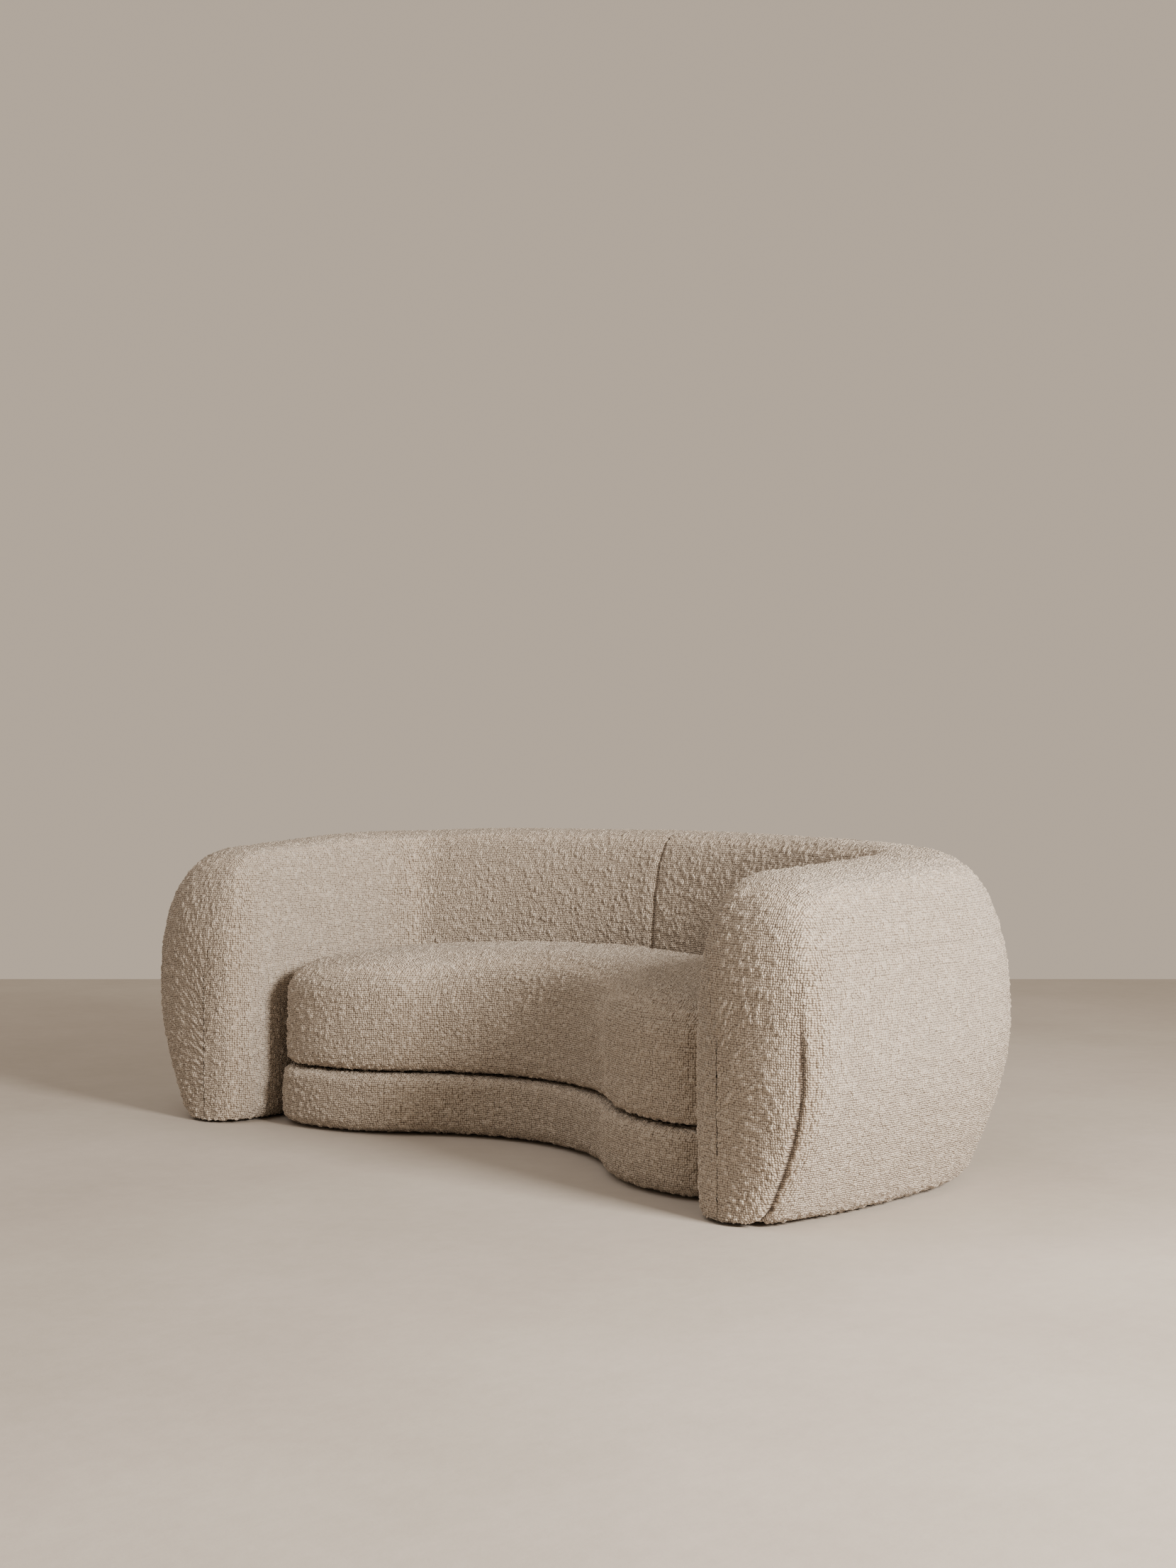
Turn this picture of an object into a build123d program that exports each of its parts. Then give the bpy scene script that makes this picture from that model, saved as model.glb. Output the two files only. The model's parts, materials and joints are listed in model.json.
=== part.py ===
from build123d import *
import os
from math import atan2, cos, pi, radians, sin, sqrt

# Curved two-seat sofa: a wrap-around upholstered shell that is back and both arms,
# a kidney-shaped upholstered base fixed inside it, and a loose kidney-shaped seat cushion.
# Millimetres. X is the width, +Y points to the back, +Z is up, the floor is z = 0 and the
# origin lies under the middle of the sofa's overall box.

# ---- Shell: centreline in plan, from the middle of the back to the front of an arm ----
BACK_RADIUS = 2105
BACK_TURN = radians(19.3)
CORNER_RADIUS = 235
CORNER_TURN = radians(66.1)
ARM_RADIUS = 2120
ARM_TURN = radians(13.9)
BACK_LINE_Y = 306.2  # the centreline's rearmost point lies this far behind the origin

# ---- Shell: cross-section ----
LIP_HEIGHT = 6  # lower edge of the upholstery above the floor
BACK_HEIGHT = 715  # top of the back in the middle
ARM_DROP = 54  # the top line falls by this much towards the arm fronts
DROP_POWER = 2.4  # a higher power keeps the fall nearer to the fronts
FRONT_DROP = 292  # height of the large rounding at the top of each arm front
FRONT_RUN = 160  # its length along the arm
FRONT_POWER = 2.5
OUTER_FOOT = 136  # half thickness outwards at the lip
OUTER_BULGE = 230  # half thickness outwards where the shell is fullest
INNER_FOOT = 88
INNER_BULGE = 116
OUTER_FOOT_ARM = 110
OUTER_BULGE_ARM = 226
INNER_FOOT_ARM = 112
INNER_BULGE_ARM = 118
BULGE_LEVEL = 0.5  # fullest at this part of the section's height
CROWN_LEVEL = 0.4  # the rounded top starts closing at this part of the height
CROWN_POWER = 2.9
TIP_LENGTH = 100  # plan rounding of an arm's front end
TIP_POWER = 2.4  # 2 would make it elliptic
FOOT_ROUND = 0.058  # lower rounding, as a part of the section's height
FOOT_FACTOR = 0.76  # width left at the lip after that rounding
LEVELS = (0, 0.02, 0.06, 0.14, 0.26, 0.4, 0.54, 0.67, 0.79, 0.88, 0.945, 0.985, 1)

# ---- Base and cushion: kidney-shaped outline ----
SEAT_GAP = 10  # between the seat's outline and the shell's fullest inner line
LOBE_X = 600
LOBE_Y = -418
RECESS_DEPTH = 228  # the front edge runs back by this much in the middle
LOBE_RADIUS = 420
LOBE_CORNER = 112
BASE_TOP = 145
SEAT_TOP = 440
SEAT_LIFT = 3  # clearance between deck and cushion, filled by the hook-and-loop pads
BASE_ROUND = 26
CUSHION_ROUND_LOW = 30
CUSHION_ROUND_TOP = 84
CROWN_RADIUS = 6500  # the cushion's top is part of a sphere this large

# ---- Layers ----
CLOTH = 3
EASE = 0.5  # clearance between a cover and its filling
SHELL_EASE = 1.6  # the same in the shell, whose sections bend in two directions
WRAP = 10
BASE_FOAM = 22

# ---- Frames ----
FRAME_IN = 45  # the shell's frame, inwards and outwards of the centreline
FRAME_OUT = 65
FRAME_TOP = 520
FRAME_SETBACK = 95  # the frame ends this far behind the arm's front
SKIN = 4  # bent plywood
PLATE = 18
PLATE_BOTTOM = 30
MID_RAIL = 270
RIB_COUNT = 9
RIB_SETBACK = 60  # from the outermost rib to the front post
POST = 45
BASE_PLATE = 15
DECK_RAIL = 65
DECK_PAD = 8  # foam between the webbing and the cover
WEBBING = 2
STRAP_WIDTH = 60
STRAP_STEP = 108
STRAP_INSET = 10  # the straps end this far inside the deck ring's edge
COVER_SHEET = 1

# ---- Outer panel of the cover ----
PANEL_SETBACK = 40  # its front seam lies this far behind the arm's front
PANEL_TOP = 530
SEAM_STEPS = (0, 0.03, 0.09, 0.2, 0.35, 0.52, 0.7, 0.86, 1)

# ---- Feet, glides, screws ----
FOOT = 60
FOOT_CHAMFER = 5
FOOT_SETBACK = 60  # from the frame's ends to the front feet
BASE_FOOT_SIDE = 480  # the base's rear feet, sideways and backwards from the origin
BASE_FOOT_BACK = 30
BASE_FOOT_SETBACK = 130  # from the lobes' front to the front feet
MIDDLE_FOOT_SETBACK = 110  # from the recess to the middle foot
GLIDE = 4
GLIDE_RADIUS = 22
GLIDE_ROUND = 1
SCREW_RADIUS = 3
SCREW_HEAD_RADIUS = 6
SCREW_HEAD = 5
SCREW_SINK = 8  # depth of the hole for the head
SCREW_TOP = 42

# ---- Joint between the base and the shell ----
PACKER = 60
BOLT_LEVEL = 88
BOLT_RADIUS = 5
BOLT_HEAD_RADIUS = 9
BOLT_HEAD = 6
RAIL = 25  # thickness and half height of the joining rail
PAST = 5  # how far a hole is cut past the face it starts from
FREE = 0.4

# ---- Zip in the underside of the cushion cover ----
ZIP_LENGTH = 600
ZIP_WIDTH = 9
ZIP_Y = 100
ZIP_TAPE = 1.4
SLIDER_LENGTH = 14
SLIDER_SETBACK = 20

# ---- Hook-and-loop pads ----
PAD_LENGTH = 100
PAD_WIDTH = 40
PAD_CORNER = 6
PAD_STEP_X = 440
PAD_STEP_Y = 170
PAD_Y = -35

# ---- Derived lengths along the centreline ----
BACK_END = BACK_RADIUS * BACK_TURN
CORNER_END = BACK_END + CORNER_RADIUS * CORNER_TURN
REACH = CORNER_END + ARM_RADIUS * ARM_TURN
FRAME_REACH = REACH - FRAME_SETBACK
SEAT_OFFSET = max(INNER_BULGE, INNER_BULGE_ARM) + SEAT_GAP
WAIST_RADIUS = (LOBE_X**2 + RECESS_DEPTH**2) / (2 * RECESS_DEPTH) - LOBE_RADIUS


def centre(s):
    """Plan position and turn of the centreline at the arc length s from the back's middle."""
    side = 1 if s >= 0 else -1
    length = abs(s)
    centre_1 = (0, BACK_LINE_Y - BACK_RADIUS)
    step = BACK_RADIUS - CORNER_RADIUS
    centre_2 = (step * sin(BACK_TURN), centre_1[1] + step * cos(BACK_TURN))
    both = BACK_TURN + CORNER_TURN
    step = CORNER_RADIUS - ARM_RADIUS
    centre_3 = (centre_2[0] + step * sin(both), centre_2[1] + step * cos(both))
    if length < BACK_END:
        middle, radius, turn = centre_1, BACK_RADIUS, length / BACK_RADIUS
    elif length < CORNER_END:
        middle, radius, turn = centre_2, CORNER_RADIUS, BACK_TURN + (length - BACK_END) / CORNER_RADIUS
    else:
        middle, radius, turn = centre_3, ARM_RADIUS, both + (length - CORNER_END) / ARM_RADIUS
    return side * (middle[0] + radius * sin(turn)), middle[1] + radius * cos(turn), side * turn


def spot(s, out=0.0):
    """Plan position at the arc length s, moved outwards from the centreline."""
    x, y, turn = centre(s)
    return x + out * sin(turn), y + out * cos(turn)


def section_plane(s):
    """Upright plane across the shell: its x points outwards and its y points up."""
    x, y, turn = centre(s)
    return Plane(origin=(x, y, 0), x_dir=(sin(turn), cos(turn), 0), z_dir=(cos(turn), -sin(turn), 0))


def floor_plane(s, out, height):
    """Level plane at a place along the shell, turned with it."""
    x, y, turn = centre(s)
    place = (x + out * sin(turn), y + out * cos(turn), height)
    return Plane(origin=place, x_dir=(sin(turn), cos(turn), 0), z_dir=(0, 0, 1))


def blend(a, b, s):
    """Value at the arc length s of a measure that is a at the back and b at the arm fronts."""
    return a + (b - a) * (s / REACH) ** 2


def superellipse(t, power):
    """Height of a quarter superellipse: 1 at t = 0 and 0 at t = 1."""
    return (1 - min(1, max(0, t)) ** power) ** (1 / power)


def shell_top(s):
    """Height of the shell's ridge."""
    front = (s - (REACH - FRONT_RUN)) / FRONT_RUN
    fall = ARM_DROP * (s / REACH) ** DROP_POWER
    return BACK_HEIGHT - fall - FRONT_DROP * (1 - superellipse(front, FRONT_POWER))


def shell_point(s, inset, level, side):
    """Point of the shell's cross-section at a part of its height, on the outer (1) or inner (-1) side."""
    if side > 0:
        foot, bulge = blend(OUTER_FOOT, OUTER_FOOT_ARM, s), blend(OUTER_BULGE, OUTER_BULGE_ARM, s)
    else:
        foot, bulge = blend(INNER_FOOT, INNER_FOOT_ARM, s), blend(INNER_BULGE, INNER_BULGE_ARM, s)
    width = foot + (bulge - foot) * sin(pi / 2 * min(1, level / BULGE_LEVEL)) - inset
    crown = superellipse((level - CROWN_LEVEL) / (1 - CROWN_LEVEL), CROWN_POWER)
    ease = FOOT_FACTOR + (1 - FOOT_FACTOR) * superellipse(1 - level / FOOT_ROUND, 2)
    tip = min(1, (REACH - inset - s) / (TIP_LENGTH - inset))
    rise = shell_top(s) - inset - LIP_HEIGHT
    return side * width * crown * ease * superellipse(1 - tip, TIP_POWER), LIP_HEIGHT + rise * level


def whole_outline(s, inset):
    """The cross-section from the outer lower edge over the top to the inner lower edge."""
    outer = [shell_point(s, inset, v, 1) for v in LEVELS]
    inner = [shell_point(s, inset, v, -1) for v in LEVELS[-2::-1]]
    return outer + inner


def seam_level(s):
    """The top seam's part of the section's height."""
    return (PANEL_TOP - LIP_HEIGHT) / (shell_top(s) - LIP_HEIGHT)


def outside_outline(s, inset):
    """The outer side of the cross-section, up to the top seam."""
    return [shell_point(s, inset, seam_level(s) * v, 1) for v in SEAM_STEPS]


def inside_outline(s, inset):
    """The cross-section from the top seam over the top and down the inner side."""
    seam = seam_level(s)
    outer = [shell_point(s, inset, 1 - (1 - seam) * (1 - v) ** 2, 1) for v in SEAM_STEPS]
    inner = [shell_point(s, inset, v, -1) for v in LEVELS[-2::-1]]
    return outer + inner


def stations(start, end, inset=0):
    """Places of the cross-sections between two arc lengths, closer together where the form turns fast."""
    tip_start = REACH - inset - TIP_LENGTH
    marks = [BACK_END * n / 12 for n in range(12)]
    marks += [BACK_END + (CORNER_END - BACK_END) * n / 12 for n in range(12)]
    marks += [CORNER_END + (REACH - FRONT_RUN - CORNER_END) * n / 6 for n in range(6)]
    marks += [REACH - FRONT_RUN + (tip_start - REACH + FRONT_RUN) * n / 6 for n in range(6)]
    marks += [tip_start + TIP_LENGTH * sin(pi / 2 * n / 10) for n in range(10)]
    marks = sorted({-s for s in marks} | set(marks))
    return [start] + [s for s in marks if start + 1 < s < end - 1] + [end]


def solid_section(s, inset):
    """Filled cross-section of the shell's form, moved inwards."""
    with BuildSketch(section_plane(s)) as section:
        with BuildLine():
            skin = Spline(*whole_outline(abs(s), inset))
            Line(skin @ 1, skin @ 0)
        make_face()
    return section.sketch


def wall_section(s, outline):
    """Band-shaped cross-section of a cover that follows one part of the shell's outline."""
    with BuildSketch(section_plane(s)) as section:
        with BuildLine():
            skin = Spline(*outline(abs(s), 0))
            lining = Spline(*outline(abs(s), CLOTH))
            Line(skin @ 0, lining @ 0)
            Line(skin @ 1, lining @ 1)
        make_face()
    return section.sketch


def filling(start, end):
    """Foam of the shell between two arc lengths, hollowed for the frame and the packers."""
    inset = CLOTH + SHELL_EASE
    loft([solid_section(s, inset) for s in stations(start, end, inset)], ruled=True)
    space = strip(-FRAME_IN - FREE, FRAME_OUT + FREE, FRAME_REACH + FREE, 0)
    extrude(space, amount=FRAME_TOP + FREE, mode=Mode.SUBTRACT)
    add(packer_space.part, mode=Mode.SUBTRACT)


def cover(outline, start, end):
    """Cover along the shell between two arc lengths."""
    loft([wall_section(s, outline) for s in stations(start, end, CLOTH)], ruled=True)


def follow(out, start, end):
    """Arcs that run beside the centreline from the arc length start to end."""
    joins = [s for s in (-CORNER_END, -BACK_END, BACK_END, CORNER_END) if start < s < end]
    marks = [start] + joins + [end]
    for a, b in zip(marks, marks[1:]):
        ThreePointArc(spot(a, out), spot((a + b) / 2, out), spot(b, out))


def strip(inner, outer, reach, height):
    """Level sketch of a strip along the shell between two offsets from its centreline."""
    with BuildSketch(Plane.XY.offset(height)) as outline:
        with BuildLine():
            follow(inner, -reach, reach)
            Line(spot(reach, inner), spot(reach, outer))
            follow(outer, -reach, reach)
            Line(spot(-reach, outer), spot(-reach, inner))
        make_face()
    return outline.sketch


def meet(centre_a, radius_a, centre_b, radius_b):
    """The right-hand point that lies radius_a from centre_a and radius_b from centre_b."""
    gap = centre_b - centre_a
    along = (radius_a**2 - radius_b**2 + gap.length**2) / (2 * gap.length)
    aside = sqrt(radius_a**2 - along**2)
    unit = gap.normalized()
    found = [centre_a + unit * along + Vector(-unit.Y, unit.X) * side * aside for side in (-1, 1)]
    return max(found, key=lambda point: point.X - point.Y)


def round_arc(middle, start, end, radius):
    """Arc about a middle point between two directions from it."""
    halfway = ((start - middle).normalized() + (end - middle).normalized()).normalized()
    first = middle + (start - middle).normalized() * radius
    last = middle + (end - middle).normalized() * radius
    ThreePointArc(first, middle + halfway * radius, last)


def kidney(inset, height):
    """Level sketch of the outline that base and cushion share, moved inwards."""
    step = CORNER_RADIUS - ARM_RADIUS
    both = BACK_TURN + CORNER_TURN
    corner = Vector(*spot(CORNER_END, -CORNER_RADIUS))
    side_middle = corner + Vector(sin(both), cos(both)) * step
    side_radius = ARM_RADIUS - SEAT_OFFSET
    lobe_middle = Vector(LOBE_X, LOBE_Y + LOBE_RADIUS)
    waist_middle = Vector(0, LOBE_Y + RECESS_DEPTH - WAIST_RADIUS)
    tip_middle = meet(lobe_middle, LOBE_RADIUS - LOBE_CORNER, side_middle, side_radius - LOBE_CORNER)
    to_tip = tip_middle - side_middle
    end = CORNER_END + (atan2(to_tip.X, to_tip.Y) - both) * ARM_RADIUS
    side_join = side_middle + to_tip.normalized() * side_radius
    front_join = lobe_middle + (tip_middle - lobe_middle).normalized() * LOBE_RADIUS
    waist_join = lobe_middle + (waist_middle - lobe_middle).normalized() * LOBE_RADIUS

    def flip(point):
        return Vector(-point.X, point.Y)

    with BuildSketch(Plane.XY.offset(height)) as outline:
        with BuildLine():
            follow(-SEAT_OFFSET - inset, -end, end)
            for turn in (lambda point: point, flip):
                round_arc(turn(tip_middle), turn(side_join), turn(front_join), LOBE_CORNER - inset)
                round_arc(turn(lobe_middle), turn(front_join), turn(waist_join), LOBE_RADIUS - inset)
            round_arc(waist_middle, waist_join, flip(waist_join), WAIST_RADIUS + inset)
        make_face()
    return outline.sketch


def top_edges(part):
    return part.faces().sort_by(Axis.Z)[-1].edges()


def bottom_edges(part):
    return part.faces().sort_by(Axis.Z)[0].edges()


def cushion_form(inset):
    """The cushion's crowned form, moved inwards."""
    low = BASE_TOP + SEAT_LIFT + inset
    top = SEAT_TOP - inset
    extrude(kidney(inset, low), amount=top - low)
    with Locations((0, 0, top - CROWN_RADIUS)):
        Sphere(CROWN_RADIUS, mode=Mode.INTERSECT)


def save(builder, name):
    builder.part.label = name
    export_step(builder.part, f"parts/{name}.step")


os.makedirs("parts", exist_ok=True)

# ---- Places of ribs, feet and bolts ----
rib_span = FRAME_REACH - POST - RIB_SETBACK
rib_step = 2 * rib_span / (RIB_COUNT - 1)
rib_places = [rib_step * n - rib_span for n in range(RIB_COUNT)]
shell_foot_places = [BACK_END / 2, CORNER_END, FRAME_REACH - FOOT_SETBACK]
shell_foot_places += [-s for s in shell_foot_places]
shell_foot_out = (FRAME_OUT - FRAME_IN) / 2
bolt_places = [rib_step * n for n in (-1.5, -0.5, 0.5, 1.5)]
base_foot_spots = [(side * LOBE_X, LOBE_Y + BASE_FOOT_SETBACK) for side in (-1, 1)]
base_foot_spots += [(side * BASE_FOOT_SIDE, BASE_FOOT_BACK) for side in (-1, 1)]
base_foot_spots += [(0, LOBE_Y + RECESS_DEPTH + MIDDLE_FOOT_SETBACK)]


def packer_blocks(size, near, far):
    """Square blocks across the joint between base and shell, between two offsets."""
    for s in bolt_places:
        with BuildSketch(section_plane(s)) as face:
            with Locations(((near + far) / 2, BOLT_LEVEL)):
                Rectangle(abs(far - near), size)
        extrude(face.sketch, amount=size / 2, both=True)


def bolt_holes(radius, near, far, mode=Mode.SUBTRACT):
    """Round bars along the bolts' axes between two offsets from the centreline."""
    for s in bolt_places:
        x, y, turn = centre(s)
        outward = (sin(turn), cos(turn), 0)
        start = (x + near * sin(turn), y + near * cos(turn), BOLT_LEVEL)
        with BuildSketch(Plane(origin=start, z_dir=outward)) as face:
            Circle(radius)
        extrude(face.sketch, amount=far - near, mode=mode)


# ---- Space that the layers leave free for the packers ----
with BuildPart() as packer_space:
    packer_blocks(PACKER, -SEAT_OFFSET - CLOTH - BASE_FOAM, -FRAME_IN)

# ---- Shell frame ----
inner_face = -FRAME_IN + SKIN
outer_face = FRAME_OUT - SKIN
rail_face = inner_face + RAIL
rib_bottom = PLATE_BOTTOM + PLATE


def screw_holes(radius, places, amount, height):
    """Upright round bars at the shell's feet."""
    for s in places:
        with BuildSketch(floor_plane(s, shell_foot_out, height)) as face:
            Circle(radius)
        extrude(face.sketch, amount=amount, mode=Mode.SUBTRACT)


with BuildPart() as shell_bottom_plate:
    extrude(strip(inner_face, outer_face, FRAME_REACH, PLATE_BOTTOM), amount=PLATE)
    screw_holes(SCREW_RADIUS, shell_foot_places, PLATE, PLATE_BOTTOM)

with BuildPart() as shell_mid_rail:
    extrude(strip(inner_face, outer_face, FRAME_REACH - POST, MID_RAIL), amount=PLATE)

with BuildPart() as shell_top_rail:
    extrude(strip(inner_face, outer_face, FRAME_REACH, FRAME_TOP - PLATE), amount=PLATE)

with BuildPart() as shell_joining_rail:
    extrude(strip(inner_face, rail_face, BACK_END, BOLT_LEVEL - RAIL), amount=2 * RAIL)
    bolt_holes(BOLT_RADIUS + FREE, inner_face - PAST, rail_face + PAST)


def ribs(low, high):
    """Upright plates across the shell between two levels."""
    for s in rib_places:
        with BuildSketch(section_plane(s)) as face:
            with Locations(((inner_face + outer_face) / 2, (low + high) / 2)):
                Rectangle(outer_face - inner_face - 2 * FREE, high - low)
        extrude(face.sketch, amount=PLATE / 2, both=True)


with BuildPart() as shell_lower_ribs:
    ribs(rib_bottom, MID_RAIL)
    notch = strip(inner_face, rail_face, BACK_END + PLATE, BOLT_LEVEL - RAIL)
    extrude(notch, amount=2 * RAIL, mode=Mode.SUBTRACT)

with BuildPart() as shell_upper_ribs:
    ribs(MID_RAIL + PLATE, FRAME_TOP - PLATE)

with BuildPart() as arm_front_posts:
    for end in (-1, 1):
        with BuildSketch(section_plane(end * (FRAME_REACH - POST / 2))):
            with Locations(((inner_face + outer_face) / 2, (rib_bottom + FRAME_TOP - PLATE) / 2)):
                Rectangle(outer_face - inner_face - 2 * FREE, FRAME_TOP - PLATE - rib_bottom)
        extrude(amount=POST / 2 - FREE, both=True)

with BuildPart() as shell_inner_skin:
    extrude(strip(-FRAME_IN, inner_face, FRAME_REACH, PLATE_BOTTOM), amount=FRAME_TOP - PLATE_BOTTOM)
    bolt_holes(BOLT_RADIUS + FREE, -FRAME_IN - PAST, inner_face + PAST)

with BuildPart() as shell_outer_skin:
    extrude(strip(outer_face, FRAME_OUT, FRAME_REACH, PLATE_BOTTOM), amount=FRAME_TOP - PLATE_BOTTOM)

# ---- Shell upholstery: the left pieces mirror the right ones ----
corner_middle = (BACK_END + CORNER_END) / 2
panel_end = REACH - PANEL_SETBACK

with BuildPart() as right_back_foam:
    filling(0, corner_middle)
with BuildPart() as left_back_foam:
    add(right_back_foam.part.mirror(Plane.YZ))

with BuildPart() as right_arm_foam:
    filling(corner_middle, REACH - CLOTH - SHELL_EASE - FREE)
with BuildPart() as left_arm_foam:
    add(right_arm_foam.part.mirror(Plane.YZ))

with BuildPart() as outside_cover:
    cover(outside_outline, -panel_end, panel_end)

with BuildPart() as inside_cover_right:
    cover(inside_outline, 0, panel_end)
    add(packer_space.part, mode=Mode.SUBTRACT)
with BuildPart() as inside_cover_left:
    add(inside_cover_right.part.mirror(Plane.YZ))

with BuildPart() as right_arm_front_cover:
    cover(whole_outline, panel_end, REACH - CLOTH - FREE)
    loft([solid_section(REACH - s, 0) for s in (CLOTH, 2 * CLOTH / 3, CLOTH / 3, FREE)], ruled=True)
with BuildPart() as left_arm_front_cover:
    add(right_arm_front_cover.part.mirror(Plane.YZ))

# ---- Feet, glides and screws of the shell ----
with BuildPart() as shell_dust_cover:
    sheet = strip(-FRAME_IN + FREE, FRAME_OUT - FREE, FRAME_REACH - FREE, PLATE_BOTTOM - COVER_SHEET)
    extrude(sheet, amount=COVER_SHEET)
    for s in shell_foot_places:
        with BuildSketch(floor_plane(s, shell_foot_out, PLATE_BOTTOM - COVER_SHEET)):
            Rectangle(FOOT + 2 * FREE, FOOT + 2 * FREE)
        extrude(amount=COVER_SHEET, mode=Mode.SUBTRACT)


def foot(plane):
    """Wooden block with a chamfered lower edge and a stepped screw hole."""
    with BuildSketch(plane) as sole:
        Rectangle(FOOT - 2 * FOOT_CHAMFER, FOOT - 2 * FOOT_CHAMFER)
    with BuildSketch(plane.offset(FOOT_CHAMFER)) as body:
        Rectangle(FOOT, FOOT)
    with BuildSketch(plane) as head_hole:
        Circle(SCREW_HEAD_RADIUS + FREE)
    with BuildSketch(plane) as shank_hole:
        Circle(SCREW_RADIUS + FREE)
    loft([sole.sketch, body.sketch])
    extrude(body.sketch, amount=PLATE_BOTTOM - GLIDE - FOOT_CHAMFER)
    extrude(head_hole.sketch, amount=SCREW_SINK, mode=Mode.SUBTRACT)
    extrude(shank_hole.sketch, amount=PLATE_BOTTOM - GLIDE, mode=Mode.SUBTRACT)


def glide(plane):
    """Plastic disc under a foot."""
    with BuildSketch(plane) as disc:
        Circle(GLIDE_RADIUS)
    extrude(disc.sketch, amount=GLIDE)


def screw(plane):
    """Screw with a flat head that fixes a foot."""
    with BuildSketch(plane.offset(GLIDE + SCREW_SINK - SCREW_HEAD)) as head:
        Circle(SCREW_HEAD_RADIUS)
    with BuildSketch(plane.offset(GLIDE + SCREW_SINK)) as shank:
        Circle(SCREW_RADIUS)
    extrude(head.sketch, amount=SCREW_HEAD)
    extrude(shank.sketch, amount=SCREW_TOP - GLIDE - SCREW_SINK)


shell_feet_planes = [floor_plane(s, shell_foot_out, 0) for s in shell_foot_places]
base_feet_planes = [Plane(origin=(x, y, 0)) for x, y in base_foot_spots]

with BuildPart() as shell_feet:
    for plane in shell_feet_planes:
        foot(plane.offset(GLIDE))

with BuildPart() as shell_glides:
    for plane in shell_feet_planes:
        glide(plane)
    fillet(shell_glides.faces().filter_by(lambda f: abs(f.center().Z) < 0.01).edges(), radius=GLIDE_ROUND)

with BuildPart() as base_feet:
    for plane in base_feet_planes:
        foot(plane.offset(GLIDE))

with BuildPart() as base_glides:
    for plane in base_feet_planes:
        glide(plane)
    fillet(base_glides.faces().filter_by(lambda f: abs(f.center().Z) < 0.01).edges(), radius=GLIDE_ROUND)

with BuildPart() as foot_screws:
    for plane in shell_feet_planes + base_feet_planes:
        screw(plane)

# ---- Base frame ----
base_frame_inset = CLOTH + BASE_FOAM
base_plate_inset = base_frame_inset + SKIN
deck_top = BASE_TOP - CLOTH - DECK_PAD - 2 * WEBBING
deck_bottom = deck_top - BASE_PLATE
plate_top = PLATE_BOTTOM + BASE_PLATE
long = 4 * LOBE_X  # longer than the base in any direction

with BuildPart() as base_bottom_plate:
    extrude(kidney(base_plate_inset, PLATE_BOTTOM), amount=BASE_PLATE)
    for plane in base_feet_planes:
        with BuildSketch(plane.offset(PLATE_BOTTOM)):
            Circle(SCREW_RADIUS)
        extrude(amount=BASE_PLATE, mode=Mode.SUBTRACT)

with BuildPart() as base_fascia:
    extrude(kidney(base_frame_inset, PLATE_BOTTOM), amount=deck_top - PLATE_BOTTOM)
    extrude(kidney(base_plate_inset, PLATE_BOTTOM), amount=deck_top - PLATE_BOTTOM, mode=Mode.SUBTRACT)
    bolt_holes(BOLT_RADIUS, -SEAT_OFFSET - 2 * base_plate_inset, -SEAT_OFFSET)

with BuildPart() as base_deck_ring:
    extrude(kidney(base_plate_inset, deck_bottom), amount=BASE_PLATE)
    extrude(kidney(base_plate_inset + DECK_RAIL, deck_bottom), amount=BASE_PLATE, mode=Mode.SUBTRACT)

with BuildPart() as base_ribs:
    extrude(kidney(base_plate_inset, plate_top), amount=deck_bottom - plate_top)
    with BuildSketch(Plane.XY.offset(plate_top)):
        with GridLocations(LOBE_X / 2, 1, 5, 1):
            Rectangle(PLATE, long)
    extrude(amount=deck_bottom - plate_top, mode=Mode.INTERSECT)

with BuildPart() as seat_webbing_lengthwise:
    extrude(kidney(base_plate_inset + STRAP_INSET, deck_top), amount=WEBBING)
    with BuildSketch(Plane.XY.offset(deck_top)):
        with GridLocations(STRAP_STEP, 1, 11, 1):
            Rectangle(STRAP_WIDTH, long)
    extrude(amount=WEBBING, mode=Mode.INTERSECT)

with BuildPart() as seat_webbing_crosswise:
    extrude(kidney(base_plate_inset + STRAP_INSET, deck_top + WEBBING), amount=WEBBING)
    with BuildSketch(Plane.XY.offset(deck_top + WEBBING)):
        with GridLocations(1, STRAP_STEP, 1, 9):
            Rectangle(long, STRAP_WIDTH)
    extrude(amount=WEBBING, mode=Mode.INTERSECT)

with BuildPart() as base_dust_cover:
    extrude(kidney(base_frame_inset + FREE, PLATE_BOTTOM - COVER_SHEET), amount=COVER_SHEET)
    for plane in base_feet_planes:
        with BuildSketch(plane.offset(PLATE_BOTTOM - COVER_SHEET)):
            Rectangle(FOOT + 2 * FREE, FOOT + 2 * FREE)
        extrude(amount=COVER_SHEET, mode=Mode.SUBTRACT)


# ---- Base upholstery ----
def base_form(inset):
    """The base's form, moved inwards, with its sharp edges."""
    low = LIP_HEIGHT + inset
    extrude(kidney(inset, low), amount=BASE_TOP - inset - low)


with BuildPart() as base_outer:
    base_form(0)
    fillet(top_edges(base_outer), radius=BASE_ROUND)
    fillet(bottom_edges(base_outer), radius=BASE_ROUND)

with BuildPart() as base_inner:
    base_form(CLOTH)
    fillet(top_edges(base_inner), radius=BASE_ROUND - CLOTH)
    fillet(bottom_edges(base_inner), radius=BASE_ROUND - CLOTH)

with BuildPart() as base_foam:
    base_form(CLOTH + EASE)
    fillet(top_edges(base_foam), radius=BASE_ROUND - CLOTH - EASE)
    fillet(bottom_edges(base_foam), radius=BASE_ROUND - CLOTH - EASE)
    extrude(kidney(base_frame_inset, 0), amount=deck_top + 2 * WEBBING, mode=Mode.SUBTRACT)
    add(packer_space.part, mode=Mode.SUBTRACT)

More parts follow.
